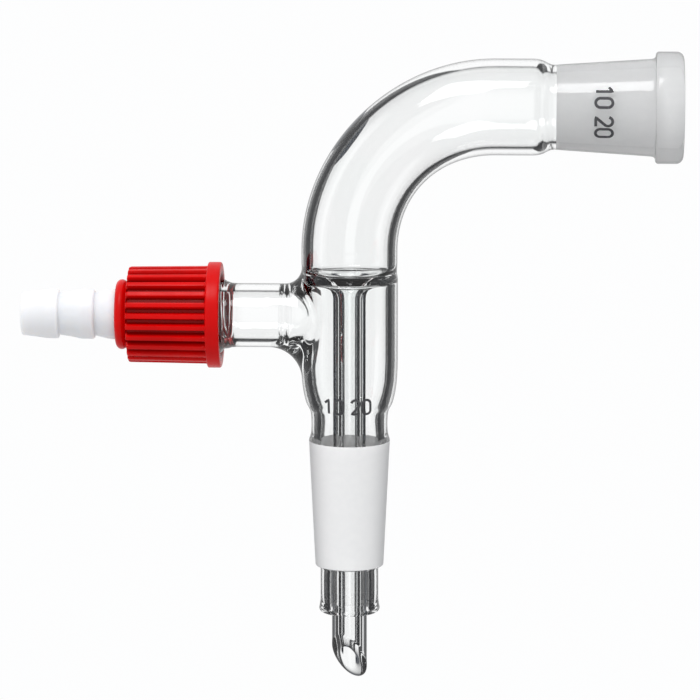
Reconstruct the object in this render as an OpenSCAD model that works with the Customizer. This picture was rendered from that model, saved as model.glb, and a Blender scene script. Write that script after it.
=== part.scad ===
// Bent vacuum take-off adapter for small distillation glassware.
//
// One piece of borosilicate glass carries a ground cone at the bottom, a right-angle bend to a
// ground socket, and a side arm for the vacuum. Inside the jacket a drip tube runs from the
// ring seal down through the cone, so the liquid leaves below the vacuum passage. A screw cap
// on the side arm holds a plastic hose connector against a soft sealing ring.
//
// Millimetres. The origin is the centre of the ground cone's wide end. Z runs up the cone's
// axis, X towards the ground socket and the side arm points along -X.

/* [Preview] */
// Piece to draw

/* [Ground joints] */
// Wide diameter of the ground cone and of the ground socket
joint_d = 14.5; // [12:0.1:20]
// Ground length of the cone and of the socket
joint_length = 23; // [18:1:32]
// Diameter lost for each millimetre of ground length
joint_taper = 0.1; // [0.05:0.01:0.15]
// Bevel on the narrow end of the ground cone
cone_edge = 0.5; // [0.2:0.1:1]

/* [Jacket] */
// Outside diameter of the jacket round the drip tube
jacket_d = 17.3; // [15:0.1:24]
// Thickness of the jacket's glass, down to the foot of the ground cone
jacket_wall = 1.7; // [1:0.1:2]
// Outside diameter of the waist above the ground cone
waist_d = 13.6; // [12.5:0.1:16]
// Height of the middle of the waist
waist_height = 2.8; // [2:0.1:5]
// Height where the shoulder starts to swell out of the waist
shoulder_height = 6; // [5:0.5:10]
// Outside diameter at the foot of the shoulder
shoulder_d = 15.7; // [14:0.1:18]
// Height of the short steep rise at the foot of the shoulder
shoulder_rise = 0.9; // [0.5:0.1:1.5]
// How far the wall still lies inside the jacket's radius halfway up the shoulder
shoulder_sag = 0.2; // [0.1:0.05:0.4]
// Height where the jacket reaches its full diameter
jacket_start = 13.6; // [11:0.5:20]
// Height of the ring seal between the jacket, the bend and the drip tube
seal_height = 29.9; // [27:0.1:45]
// Depth of the groove left round the outside of the ring seal
seal_groove = 0.2; // [0:0.05:0.4]
// Height of the slope on each side of that groove
seal_slope = 1; // [0.5:0.1:1.5]

/* [Bend and socket] */
// Thickness of the glass in the bend and the socket
bend_wall = 1.4; // [1:0.1:2]
// Outside diameter of the bent tube
bend_d = 17.1; // [15:0.1:24]
// Radius of the bend, measured to the middle of the tube
bend_radius = 25.8; // [20:0.5:45]
// Height where the bend starts
bend_start = 34.3; // [30:0.5:60]
// Straight tube between the bend and the neck of the socket
bend_straight = 8.6; // [4:0.5:30]
// Length of the neck between the tube and the socket
neck_length = 1.6; // [1:0.1:4]
// Outside diameter at the foot of the socket
socket_foot_d = 15; // [14:0.1:20]
// Outside diameter of the socket under its rim
socket_top_d = 17.3; // [16.5:0.1:24]
// Diameter of the socket's rim
rim_d = 19.8; // [18:0.1:28]
// Width of the socket's rim
rim_width = 5; // [3:0.5:8]
// Rounding of the rim at the mouth
rim_round = 1.3; // [0.5:0.1:2]
// Rounding of the rim towards the tube
rim_back_round = 0.6; // [0.2:0.1:1]

/* [Drip tube] */
// Outside diameter of the drip tube
drip_d = 6.3; // [5:0.1:6.8]
// Thickness of the drip tube's glass
drip_wall = 1.8; // [0.7:0.1:2]
// How far the point of the drip tube reaches below the origin
drip_reach = 44.4; // [42:0.1:60]
// Slope of the ground tip, measured from level
tip_slope = 56; // [0:1:65]
// Direction the slanted opening faces, counted from the socket side
tip_facing = 245; // [0:5:360]
// Radius of the trumpet that joins the drip tube to the ring seal
trumpet_radius = 3.2; // [1:0.1:3.3]
// Radius of the funnel that leads into the drip tube
funnel_radius = 4.4; // [2.8:0.1:5]

/* [Lower tube] */
// Outside diameter of the tube under the ground cone
lower_tube_d = 10.4; // [9:0.1:11.5]
// Thickness of the lower tube
lower_tube_wall = 1.6; // [0.8:0.1:1.8]
// Least room between the drip tube and the lower tube round it
drip_clearance = 0.4; // [0.2:0.1:1]
// Length of the lower tube under the ground cone
lower_tube_length = 8.5; // [3:0.5:15]
// Diameter of the fire-polished bead on its end
bead_d = 10.9; // [10:0.1:12]

/* [Side arm] */
// Height of the side arm
arm_height = 22.5; // [20:0.5:30]
// Outside diameter of the side arm
arm_d = 11.4; // [9:0.1:13]
// Thickness of the side arm's glass
arm_wall = 1.4; // [1:0.1:2]
// Distance from the jacket's axis to the end of the side arm
arm_reach = 34.7; // [30:0.5:60]
// Radius of the flare where the side arm joins the jacket
flare_radius = 6; // [3:0.5:7]
// Radius of the flare's two sides, seen from above
flare_side_radius = 4; // [3:0.5:5]
// Distance from the jacket's axis to the start of the flare
flare_reach = 14; // [13.5:0.1:15]
// Outside diameter of the screw thread, drawn without its turns
thread_d = 13.8; // [12:0.1:16]
// Length of the screw thread
thread_length = 12; // [8:0.5:20]
// Length of the thread's run-out at each end
thread_runout = 0.7; // [0.3:0.1:1.2]

/* [Screw cap] */
// Diametral gap between the thread and the cap
thread_clearance = 0.4; // [0.2:0.1:0.8]
// Depth of the cap's threaded bore
cap_depth = 15.1; // [10:0.1:22]
// Bevel at the mouth of the threaded bore
cap_lead = 0.5; // [0.2:0.1:0.8]
// Thickness of the cap's wall over the ribs, beside the flange
cap_wall = 1.65; // [1.2:0.05:4]
// How far the ribbed body narrows towards the collar, on the radius
cap_draft = 0.2; // [0:0.05:0.3]
// How far the flange round the cap's open end stands out past the ribs
cap_flange_height = 0.7; // [0.3:0.1:3]
// Thickness of the cap's flange
cap_flange_thickness = 2.4; // [1.5:0.1:4]
// Thickness of the wall that presses on the connector
cap_end_wall = 1.5; // [1:0.1:3]
// Number of grip ribs round the cap
rib_count = 26; // [16:1:40]
// Depth of the grooves between the ribs
rib_depth = 0.65; // [0.2:0.05:0.8]
// Share of the pitch taken by each groove
groove_share = 0.42; // [0.2:0.02:0.7]
// Diameter of the rounded collar round the connector
collar_d = 12.4; // [11:0.1:16]
// Length of the collar
collar_length = 2.3; // [1:0.1:4]
// Rounding of the collar's outer edge
collar_round = 1; // [0.3:0.1:1]

/* [Hose connector] */
// Gap on the radius between the hidden flange and the cap's bore
flange_clearance = 0.4; // [0.1:0.05:1]
// Thickness of the hidden flange
flange_thickness = 1.7; // [1:0.1:3]
// Diameter of the connector where it passes through the cap
shank_d = 9; // [7:0.1:10]
// Diametral gap between the connector and the hole in the cap
shank_clearance = 0.3; // [0.1:0.05:0.6]
// Length of the connector outside the cap
connector_length = 16.9; // [10:0.1:30]
// Diameter of the hole through the connector
connector_bore_d = 5.2; // [3:0.1:6]
// Diameter of the connector behind each barb
barb_root_d = 7.6; // [6:0.1:8]
// Diameter over the barbs
barb_d = 8.9; // [7.5:0.1:11]
// Diameter of the connector's tip
tip_d = 7.7; // [6:0.1:8.5]
// Rounding of the tip
tip_round = 0.5; // [0.2:0.1:1]
// Width of the flat land on each barb
barb_land = 2.1; // [0.5:0.1:3]
// Distance from the tip to the first barb's land
barb_first = 4.5; // [2:0.1:8]
// Distance from one barb to the next
barb_pitch = 6.3; // [4:0.1:10]
// Length of the steep step behind each barb's land
barb_step = 0.25; // [0.1:0.05:0.5]

/* [Sealing ring] */
// Thickness of the soft ring under the connector's flange
ring_thickness = 1.5; // [0.8:0.1:3]
// How far the soft ring's outside stays within the connector's flange
ring_inset = 0.3; // [0:0.05:0.8]
// Inside diameter of the soft ring
ring_bore_d = 7.4; // [4:0.1:9]

/* [Colours] */
// Clear borosilicate glass
glass_colour = "#e3e9ec";
// Red plastic of the cap
cap_colour = "#d3161b";
// White plastic of the connector
connector_colour = "#eceef2";
// Grey silicone of the sealing ring
ring_colour = "#b9bdc2";

/* [Hidden] */
$fn = 96;
// How far a cutting shape runs past what it cuts
overlap = 0.6;
// Width of the small breaks at edges and corners
edge = 0.5;
joint_r = joint_d / 2;
joint_small_r = joint_r - joint_taper * joint_length / 2;
jacket_r = jacket_d / 2;
jacket_bore_r = jacket_r - jacket_wall;
waist_r = waist_d / 2;
shoulder_r = shoulder_d / 2;
shoulder_mid = (shoulder_height + jacket_start) / 2;
shoulder_mid_r = jacket_r - shoulder_sag;
bend_r = bend_d / 2;
bend_bore_r = bend_r - bend_wall;
socket_axis = bend_start + bend_radius;
neck_start = bend_radius + bend_straight;
socket_foot = neck_start + neck_length;
socket_mouth = socket_foot + joint_length;
rim_start = socket_mouth - rim_width;
rim_r = rim_d / 2;
drip_r = drip_d / 2;
drip_bore_r = drip_r - drip_wall;
seal_floor = seal_height - bend_wall / 2;
trumpet_r = min(trumpet_radius, jacket_bore_r - drip_r - edge);
trumpet_start = seal_floor - trumpet_r;
funnel_floor = trumpet_start + funnel_radius;
tip_middle = drip_r * tan(tip_slope) - drip_reach;
tip_tool = 5 * drip_r;
lower_r = lower_tube_d / 2;
lower_bore_r = max(lower_r - lower_tube_wall, drip_r + drip_clearance);
lower_end = -joint_length - lower_tube_length;
bead_r = bead_d / 2;
bead_round = lower_tube_wall / 2;
arm_r = arm_d / 2;
arm_bore_r = arm_r - arm_wall;
arm_bore_start = (drip_r + jacket_bore_r) / 2;
thread_r = thread_d / 2;
thread_end = arm_reach - thread_runout;
thread_start = thread_end - thread_length;
flare_bite = 0.1;
flare_y = arm_r + flare_side_radius;
flare_x = sqrt(pow(jacket_r + flare_side_radius - flare_bite, 2) - pow(flare_y, 2));
flare_side = jacket_r * flare_y / (jacket_r + flare_side_radius);
flare_back = jacket_r * flare_x / (jacket_r + flare_side_radius);
flare_centre_r = arm_r + flare_radius;
flare_top_r = flare_centre_r - sqrt(pow(flare_radius, 2) - pow(flare_reach - jacket_r, 2));
ring_start = arm_reach;
flange_start = ring_start + ring_thickness;
cap_floor = flange_start + flange_thickness;
cap_open = cap_floor - cap_depth;
cap_bore_r = (thread_d + thread_clearance) / 2;
cap_body_r = cap_bore_r + cap_wall;
cap_small_r = cap_body_r - cap_draft;
cap_flange_r = cap_body_r + cap_flange_height;
cap_body_start = cap_open + cap_flange_thickness;
cap_body_end = cap_floor + cap_end_wall;
cap_end = cap_body_end + collar_length;
cap_hole_r = (shank_d + shank_clearance) / 2;
collar_r = collar_d / 2;
groove_width = groove_share * 2 * PI * cap_body_r / rib_count;
flange_r = cap_bore_r - flange_clearance;
ring_r = flange_r - ring_inset;
ring_bore_r = ring_bore_d / 2;
connector_end = cap_end + connector_length;
barb_one = connector_end - barb_first;
barb_two = barb_one - barb_pitch;
barb_root_r = barb_root_d / 2;
barb_r = barb_d / 2;
connector_tip_r = tip_d / 2;
shank_r = shank_d / 2;
connector_bore_r = connector_bore_d / 2;

// Turns a profile round the side arm's axis; its height becomes the distance along -X.
module on_side_arm() {
  translate([0, 0, arm_height])
    rotate([0, -90, 0])
      rotate_extrude()
        children();
}

// Turns a profile round the socket's axis; its height becomes the distance along +X.
module on_socket_axis() {
  translate([0, 0, socket_axis])
    rotate([0, 90, 0])
      rotate_extrude()
        children();
}

// A corner left between two tangent edges by a round tool.
module fillet_corner(radius) {
  difference() {
    square(radius);
    translate([radius, 0])
      circle(r = radius);
  }
}

// Outside of everything that is round about the cone's axis.
module upright_outline() {
  translate([0, -drip_reach - overlap])
    square([drip_r, drip_reach]);
  translate([bead_r - bead_round, lower_end + bead_round])
    circle(r = bead_round);
  polygon([
    [0, lower_end],
    [bead_r - bead_round, lower_end],
    [lower_r, lower_end + 3 * bead_round],
    [lower_r, -joint_length],
    [joint_small_r - cone_edge, -joint_length],
    [joint_small_r + cone_edge * joint_taper / 2, cone_edge - joint_length],
    [joint_r, 0],
    [waist_r, waist_height - edge],
    [waist_r, waist_height + edge],
    [(waist_r + shoulder_r) / 2, shoulder_height],
    [shoulder_r, shoulder_height + shoulder_rise],
    [shoulder_mid_r, shoulder_mid],
    [jacket_r, jacket_start],
    [jacket_r, seal_height - seal_slope],
    [jacket_r - seal_groove, seal_height],
    [bend_r, seal_height + seal_slope],
    [bend_r, bend_start],
    [0, bend_start]
  ]);
}

// Space between the drip tube and the jacket, open at the bottom.
module vacuum_space() {
  difference() {
    polygon([
      [drip_r, lower_end - overlap],
      [lower_bore_r, lower_end - overlap],
      [lower_bore_r, -joint_length],
      [joint_small_r - jacket_wall, 3 * edge - joint_length],
      [joint_r - jacket_wall, 0],
      [waist_r - jacket_wall, waist_height],
      [waist_r - jacket_wall, waist_height + 2 * edge],
      [shoulder_r - jacket_wall, shoulder_height + 2 * shoulder_rise],
      [shoulder_mid_r - jacket_wall, shoulder_mid + edge],
      [jacket_bore_r, jacket_start],
      [jacket_bore_r, seal_floor - edge],
      [jacket_bore_r - edge, seal_floor],
      [drip_r, seal_floor]
    ]);
    translate([drip_r, trumpet_start])
      fillet_corner(trumpet_r);
  }
}

// Passage for the liquid: the end of the bend, the funnel over the ring seal, the drip tube.
module drip_passage() {
  translate([0, -drip_reach - 2 * overlap])
    square([drip_bore_r, drip_reach + bend_start]);
  translate([drip_bore_r, trumpet_start])
    fillet_corner(funnel_radius);
  polygon([
    [0, funnel_floor],
    [drip_bore_r + funnel_radius, funnel_floor],
    [bend_bore_r, funnel_floor + bend_wall],
    [bend_bore_r, bend_start],
    [0, bend_start]
  ]);
}

// Jacket, ground cone, lower tube and drip tube.
module upright_glass() {
  rotate_extrude()
    difference() {
      upright_outline();
      vacuum_space();
      drip_passage();
    }
}

// Right-angle bend.
module bend_glass() {
  translate([bend_radius, 0, bend_start])
    rotate([90, 0, 0])
      rotate([0, 0, 90])
        rotate_extrude(angle = 90)
          translate([bend_radius, 0])
            difference() {
              circle(r = bend_r);
              circle(r = bend_bore_r);
            }
}

// Round-cornered rim of the socket.
module rim_outline() {
  translate([0, rim_start])
    square([rim_r - rim_back_round, rim_width - rim_round]);
  translate([0, rim_start + rim_back_round])
    square([rim_r, rim_width - rim_back_round - rim_round]);
  translate([0, rim_start])
    square([rim_r - rim_round, rim_width]);
  translate([rim_r - rim_back_round, rim_start + rim_back_round])
    circle(r = rim_back_round);
  translate([rim_r - rim_round, socket_mouth - rim_round])
    circle(r = rim_round);
}

// Straight tube, neck and ground socket.
module socket_glass() {
  on_socket_axis()
    difference() {
      union() {
        polygon([
          [0, bend_radius],
          [bend_r, bend_radius],
          [bend_r, neck_start],
          [socket_foot_d / 2, socket_foot],
          [socket_top_d / 2, rim_start],
          [0, rim_start + edge]
        ]);
        rim_outline();
      }
      polygon([
        [0, bend_radius],
        [bend_bore_r, bend_radius],
        [bend_bore_r, neck_start - edge],
        [joint_small_r, socket_foot],
        [joint_r, socket_mouth],
        [0, socket_mouth]
      ]);
    }
}

// Outside of the side arm, from inside the jacket's wall to its end.
module arm_outline() {
  square([arm_r, arm_reach]);
  polygon([
    [0, thread_start - thread_runout],
    [arm_r, thread_start - thread_runout],
    [thread_r, thread_start],
    [thread_r, thread_end],
    [arm_r, arm_reach],
    [0, arm_reach]
  ]);
}

// Flare at the root of the side arm: a trumpet trimmed to the jacket's own width.
module arm_root() {
  intersection() {
    on_side_arm()
      difference() {
        square([flare_top_r, flare_reach]);
        translate([flare_centre_r, flare_reach])
          circle(r = flare_radius);
      }
    translate([0, 0, arm_height - flare_top_r])
      linear_extrude(2 * flare_top_r)
        difference() {
          translate([-flare_reach, -flare_side])
            square([flare_reach - flare_back, 2 * flare_side]);
          for (side = [-1, 1])
            translate([-flare_x, side * flare_y])
              circle(r = flare_side_radius);
        }
  }
}

// Everything the glassblower fuses into one piece.
module glass_body() {
  color(glass_colour)
    difference() {
      union() {
        upright_glass();
        bend_glass();
        socket_glass();
        difference() {
          union() {
            on_side_arm()
              arm_outline();
            arm_root();
          }
          translate([0, 0, arm_height - 2 * arm_d])
            cylinder(r = jacket_r - jacket_wall / 2, h = 4 * arm_d);
        }
      }
      on_side_arm()
        translate([0, arm_bore_start])
          square([arm_bore_r, arm_reach]);
      translate([0, 0, tip_middle])
        rotate([0, -tip_slope, tip_facing])
          translate([-tip_tool / 2, -tip_tool / 2, -tip_tool])
            cube(tip_tool);
    }
}

// Red screw cap with grip ribs, flange and collar.
module screw_cap() {
  color(cap_colour)
    difference() {
      union() {
        difference() {
          on_side_arm()
            polygon([
              [0, cap_open + edge],
              [cap_body_r, cap_open + edge],
              [cap_body_r, cap_body_start],
              [cap_small_r, cap_body_end],
              [0, cap_body_end]
            ]);
          for (rib = [0 : rib_count - 1])
            translate([-cap_body_start, 0, arm_height])
              rotate([rib * 360 / rib_count, 0, 0])
                translate([-2 * cap_depth, -groove_width / 2, cap_body_r - rib_depth])
                  cube([2 * cap_depth, groove_width, cap_body_r]);
        }
        on_side_arm()
          polygon([
            [0, cap_open],
            [cap_flange_r - edge, cap_open],
            [cap_flange_r, cap_open + edge],
            [cap_flange_r, cap_body_start - edge / 2],
            [cap_flange_r - edge / 2, cap_body_start],
            [0, cap_body_start]
          ]);
        on_side_arm() {
          translate([0, cap_body_end - edge])
            square([collar_r - collar_round, collar_length + edge]);
          translate([collar_r - collar_round, cap_end - collar_round])
            circle(r = collar_round);
        }
      }
      on_side_arm()
        polygon([
          [0, cap_open],
          [cap_bore_r + cap_lead, cap_open],
          [cap_bore_r, cap_open + cap_lead],
          [cap_bore_r, cap_floor],
          [cap_hole_r, cap_floor],
          [cap_hole_r, cap_end],
          [0, cap_end]
        ]);
    }
}

// White barbed connector for the vacuum hose.
module hose_connector() {
  color(connector_colour)
    on_side_arm()
      difference() {
        polygon([
          [0, flange_start],
          [flange_r, flange_start],
          [flange_r, cap_floor],
          [shank_r, cap_floor],
          [shank_r, cap_end + edge],
          [barb_root_r, barb_two - barb_land - barb_step],
          [barb_r, barb_two - barb_land],
          [barb_r, barb_two],
          [barb_root_r, barb_one - barb_land - barb_step],
          [barb_r, barb_one - barb_land],
          [barb_r, barb_one],
          [connector_tip_r, connector_end - tip_round],
          [connector_tip_r - tip_round, connector_end],
          [0, connector_end]
        ]);
        translate([0, flange_start - edge])
          square([connector_bore_r, connector_end]);
      }
}

// Soft ring squeezed between the glass and the connector.
module sealing_ring() {
  color(ring_colour)
    on_side_arm()
      translate([ring_bore_r, ring_start])
        square([ring_r - ring_bore_r, ring_thickness]);
}

glass_body();
screw_cap();
hose_connector();
sealing_ring();
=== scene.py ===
"""Looks of a bent glass vacuum take-off adapter with a screw cap and a hose connector."""

import logging
import math
from dataclasses import dataclass, field
from enum import Enum
from typing import Callable, Sequence

import bmesh
import bpy
from mathutils import Matrix, Vector
from mathutils.kdtree import KDTree


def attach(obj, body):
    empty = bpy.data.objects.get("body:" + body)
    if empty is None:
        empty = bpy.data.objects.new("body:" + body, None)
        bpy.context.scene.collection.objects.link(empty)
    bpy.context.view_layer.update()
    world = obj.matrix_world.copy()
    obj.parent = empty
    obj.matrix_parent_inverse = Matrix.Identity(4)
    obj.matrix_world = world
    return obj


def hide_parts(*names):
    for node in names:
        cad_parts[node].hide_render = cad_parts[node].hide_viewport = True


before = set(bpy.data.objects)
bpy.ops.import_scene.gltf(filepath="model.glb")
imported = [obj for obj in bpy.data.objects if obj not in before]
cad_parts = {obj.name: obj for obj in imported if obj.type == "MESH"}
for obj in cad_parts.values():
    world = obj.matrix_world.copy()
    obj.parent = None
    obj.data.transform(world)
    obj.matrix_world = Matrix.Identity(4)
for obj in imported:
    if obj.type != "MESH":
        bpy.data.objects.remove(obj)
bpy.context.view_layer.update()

logging.basicConfig(level=logging.INFO, format="%(levelname)s %(message)s")
log = logging.getLogger("take_off_adapter")

MM = 0.001
ROUND_STEPS = 96
ARM_HEIGHT = 22.5
THREAD_PITCH = 2.5
GLASS_REFRACTION = 1.473
# Where parts of the surround start and end: the panels and the slot between one axis (0) and the
# diagonal (1), the panels' top and the plain light's rise by the upright part of the direction.
STRAIGHT_PANEL = (0.62, 0.7)
STRAIGHT_SLOT = (0.96, 0.985)
BOUNCED_PANEL = (0.42, 0.52)
PANEL_TOP = (0.6, 0.8)
PLAIN_RISE = (-0.5, 0.7)
Place = tuple[float, float]
Ring = list[bmesh.types.BMVert]


class Skin(Enum):
    """Which surface of the blown glass a face belongs to."""

    CLEAR = 0
    GROUND = 1


# ---------------------------------------------------------------- curves


def arc(centre: Place, radius: float, start: float, end: float, steps: int) -> list[Place]:
    """Points on a circular arc.

    Args:
        centre: Middle of the circle.
        radius: Radius of the circle.
        start: First angle in degrees, counted from the first axis.
        end: Last angle in degrees.
        steps: Number of equal steps.

    Returns:
        The points, both ends included.
    """
    turns = [math.radians(start + (end - start) * i / steps) for i in range(steps + 1)]
    return [(centre[0] + radius * math.cos(t), centre[1] + radius * math.sin(t)) for t in turns]


def spread(low: float, high: float, steps: int) -> list[float]:
    """Evenly spaced values from low to high, both included."""
    return [low + (high - low) * i / steps for i in range(steps + 1)]


def ease(value: float, low: float, high: float) -> float:
    """Smooth rise from 0 at low to 1 at high."""
    t = min(max((value - low) / (high - low), 0.0), 1.0)
    return t * t * (3 - 2 * t)


class Contour:
    """A smooth radius along an axis that never overshoots its stations."""

    def __init__(self, stations: Sequence[Place]) -> None:
        """Keeps the stations in rising order.

        Args:
            stations: Pairs of place along the axis and radius there.
        """
        ordered = sorted(stations)
        self.places = [s for s, _ in ordered]
        self.radii = [r for _, r in ordered]
        gaps = [b - a for a, b in zip(self.places, self.places[1:])]
        rises = [(b - a) / g for a, b, g in zip(self.radii, self.radii[1:], gaps)]
        self.slopes = [rises[0]]
        for before, after in zip(rises, rises[1:]):
            level = before * after <= 0
            self.slopes.append(0.0 if level else 2 * before * after / (before + after))
        self.slopes.append(rises[-1])

    def at(self, place: float) -> float:
        """Radius at a place along the axis.

        Args:
            place: Place along the axis; past the ends the radius stays as it is there.

        Returns:
            The radius.
        """
        s = min(max(place, self.places[0]), self.places[-1])
        i = max(k for k, low in enumerate(self.places[:-1]) if low <= s)
        gap = self.places[i + 1] - self.places[i]
        t = (s - self.places[i]) / gap
        a, b = self.radii[i], self.radii[i + 1]
        ma, mb = self.slopes[i] * gap, self.slopes[i + 1] * gap
        return (
            a * (2 * t**3 - 3 * t**2 + 1)
            + ma * (t**3 - 2 * t**2 + t)
            + b * (3 * t**2 - 2 * t**3)
            + mb * (t**3 - t**2)
        )


# ---------------------------------------------------------------- mesh tools


def turn_profile(
    bm: bmesh.types.BMesh,
    profile: Sequence[Place],
    placing: Matrix,
    steps: int,
    closed: bool = False,
) -> list[bmesh.types.BMVert]:
    """Turns a profile round an axis with the spin operator.

    Args:
        bm: Mesh to add to.
        profile: Pairs of radius and place along the axis, in millimetres.
        placing: Puts the turned shape, made round +Z, where it belongs.
        steps: Number of steps in the full turn.
        closed: Whether the last point joins the first.

    Returns:
        The new vertices.
    """
    before = set(bm.verts)
    line = [bm.verts.new((r * MM, 0.0, s * MM)) for r, s in profile]
    pairs = list(zip(line, line[1:])) + ([(line[-1], line[0])] if closed else [])
    edges = [bm.edges.new(pair) for pair in pairs]
    bmesh.ops.spin(
        bm,
        geom=line + edges,
        cent=(0, 0, 0),
        axis=(0, 0, 1),
        angle=math.tau,
        steps=steps,
        use_merge=True,
    )
    made = [v for v in bm.verts if v not in before]
    bmesh.ops.transform(bm, matrix=placing, verts=made)
    return made


def grow(bm: bmesh.types.BMesh, ring: Ring, targets: Sequence[Vector]) -> Ring:
    """Extrudes a closed ring of edges to new places.

    Args:
        bm: Mesh that holds the ring.
        ring: Vertices in order round the ring.
        targets: Place of each new vertex, in metres.

    Returns:
        The new ring, in the same order.
    """
    edges = [bm.edges.get(pair) for pair in zip(ring, ring[1:] + ring[:1])]
    made = bmesh.ops.extrude_edge_only(bm, edges=edges)["geom"]
    at_place = {tuple(v.co): v for v in made if isinstance(v, bmesh.types.BMVert)}
    fresh = [at_place[tuple(v.co)] for v in ring]
    for vert, target in zip(fresh, targets):
        vert.co = target
    return fresh


def finish_piece(
    bm: bmesh.types.BMesh,
    name: str,
    materials: Sequence[bpy.types.Material],
    sharp_degrees: float = 180.0,
) -> bpy.types.Object:
    """Closes seams, turns the normals outward and makes the object.

    Args:
        bm: Finished mesh.
        name: Name of the object.
        materials: Its materials in slot order.
        sharp_degrees: Edges that turn more than this are drawn sharp.

    Returns:
        The new object, at the origin.
    """
    bmesh.ops.remove_doubles(bm, verts=bm.verts, dist=1e-7)
    bmesh.ops.recalc_face_normals(bm, faces=bm.faces)
    for face in bm.faces:
        face.smooth = True
    limit = math.radians(sharp_degrees)
    for edge in bm.edges:
        edge.smooth = edge.calc_face_angle(0.0) < limit
    open_edges = sum(1 for edge in bm.edges if not edge.is_manifold)
    volume = bm.calc_volume(signed=True) * 1e9
    mesh = bpy.data.meshes.new(name)
    bm.to_mesh(mesh)
    triangles = sum(len(p.vertices) - 2 for p in mesh.polygons)
    bm.free()
    for material in materials:
        mesh.materials.append(material)
    piece = bpy.data.objects.new(name, mesh)
    bpy.context.scene.collection.objects.link(piece)
    log.info("%s: %d triangles, %d open edges, %.1f mm3", name, triangles, open_edges, volume)
    return piece


# ---------------------------------------------------------------- shader tools


class Shader:
    """Short hand for building a node tree."""

    def __init__(self, tree: bpy.types.NodeTree) -> None:
        """Wraps a node tree.

        Args:
            tree: Tree to build in.
        """
        self.tree = tree

    def node(self, kind: str, **settings: object) -> bpy.types.Node:
        """Adds a node and sets its plain settings."""
        made = self.tree.nodes.new(kind)
        for key, value in settings.items():
            setattr(made, key, value)
        return made

    def link(self, source: bpy.types.NodeSocket, target: bpy.types.NodeSocket) -> None:
        """Joins two sockets."""
        self.tree.links.new(source, target)

    def feed(self, socket: bpy.types.NodeSocket, value: object) -> None:
        """Links a socket, or sets its constant value."""
        if isinstance(value, bpy.types.NodeSocket):
            self.link(value, socket)
        else:
            socket.default_value = value

    def maths(self, operation: str, *values: object) -> bpy.types.NodeSocket:
        """Result of a Math node."""
        made = self.node("ShaderNodeMath", operation=operation)
        for socket, value in zip(made.inputs, values):
            self.feed(socket, value)
        return made.outputs[0]

    def ramp(
        self,
        value: bpy.types.NodeSocket,
        low: object,
        high: object,
        to_low: object,
        to_high: object,
    ) -> bpy.types.NodeSocket:
        """Smoothly maps a value from one range to another.

        Args:
            value: Value to map.
            low: Start of its range.
            high: End of its range.
            to_low: Result at the start.
            to_high: Result at the end.

        Returns:
            The result.
        """
        made = self.node("ShaderNodeMapRange", interpolation_type="SMOOTHSTEP")
        for name, item in (
            ("Value", value),
            ("From Min", low),
            ("From Max", high),
            ("To Min", to_low),
            ("To Max", to_high),
        ):
            self.feed(made.inputs[name], item)
        return made.outputs["Result"]

    def noise(
        self, coords: bpy.types.NodeSocket, scale: object, detail: float
    ) -> bpy.types.NodeSocket:
        """Grey noise at a place.

        Args:
            coords: The place.
            scale: Scale of the noise.
            detail: Number of finer layers.

        Returns:
            The noise, from 0 to 1.
        """
        made = self.node("ShaderNodeTexNoise")
        self.feed(made.inputs["Vector"], coords)
        self.feed(made.inputs["Scale"], scale)
        made.inputs["Detail"].default_value = detail
        return made.outputs[0]

    def mix(self, share: object, first: object, second: object) -> bpy.types.NodeSocket:
        """Mix of two colours."""
        made = self.node("ShaderNodeMix", data_type="RGBA")
        self.feed(made.inputs[0], share)
        self.feed(made.inputs[6], first)
        self.feed(made.inputs[7], second)
        return made.outputs[2]


def make_group(
    name: str,
    inputs: Sequence[tuple[str, str, object]],
    outputs: Sequence[tuple[str, str]],
    build: Callable[[Shader, bpy.types.Node, bpy.types.Node], None],
) -> bpy.types.NodeTree:
    """Makes a named shader group.

    Args:
        name: Name of the group.
        inputs: Name, socket type and default of each input.
        outputs: Name and socket type of each output.
        build: Fills the group, given its shader, input node and output node.

    Returns:
        The group's tree.
    """
    tree = bpy.data.node_groups.new(name, "ShaderNodeTree")
    for label, kind, default in inputs:
        socket = tree.interface.new_socket(name=label, in_out="INPUT", socket_type=kind)
        if default is not None:
            socket.default_value = default
    for label, kind in outputs:
        tree.interface.new_socket(name=label, in_out="OUTPUT", socket_type=kind)
    shader = Shader(tree)
    build(shader, shader.node("NodeGroupInput"), shader.node("NodeGroupOutput"))
    return tree


def build_mould_grain(shader: Shader, given: bpy.types.Node, result: bpy.types.Node) -> None:
    """Uneven sheen and faint relief of a moulded or ground skin.

    Args:
        shader: Tree of the group.
        given: The group's input node.
        result: The group's output node.
    """
    coarse = shader.noise(given.outputs["Place"], given.outputs["Scale"], 3.0)
    fine_scale = shader.maths("MULTIPLY", given.outputs["Scale"], 9.0)
    fine = shader.noise(given.outputs["Place"], fine_scale, 2.0)
    shader.link(shader.ramp(coarse, 0.35, 0.65, 0.0, 1.0), result.inputs["Mask"])
    shader.link(shader.maths("ADD", coarse, fine), result.inputs["Height"])


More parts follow.
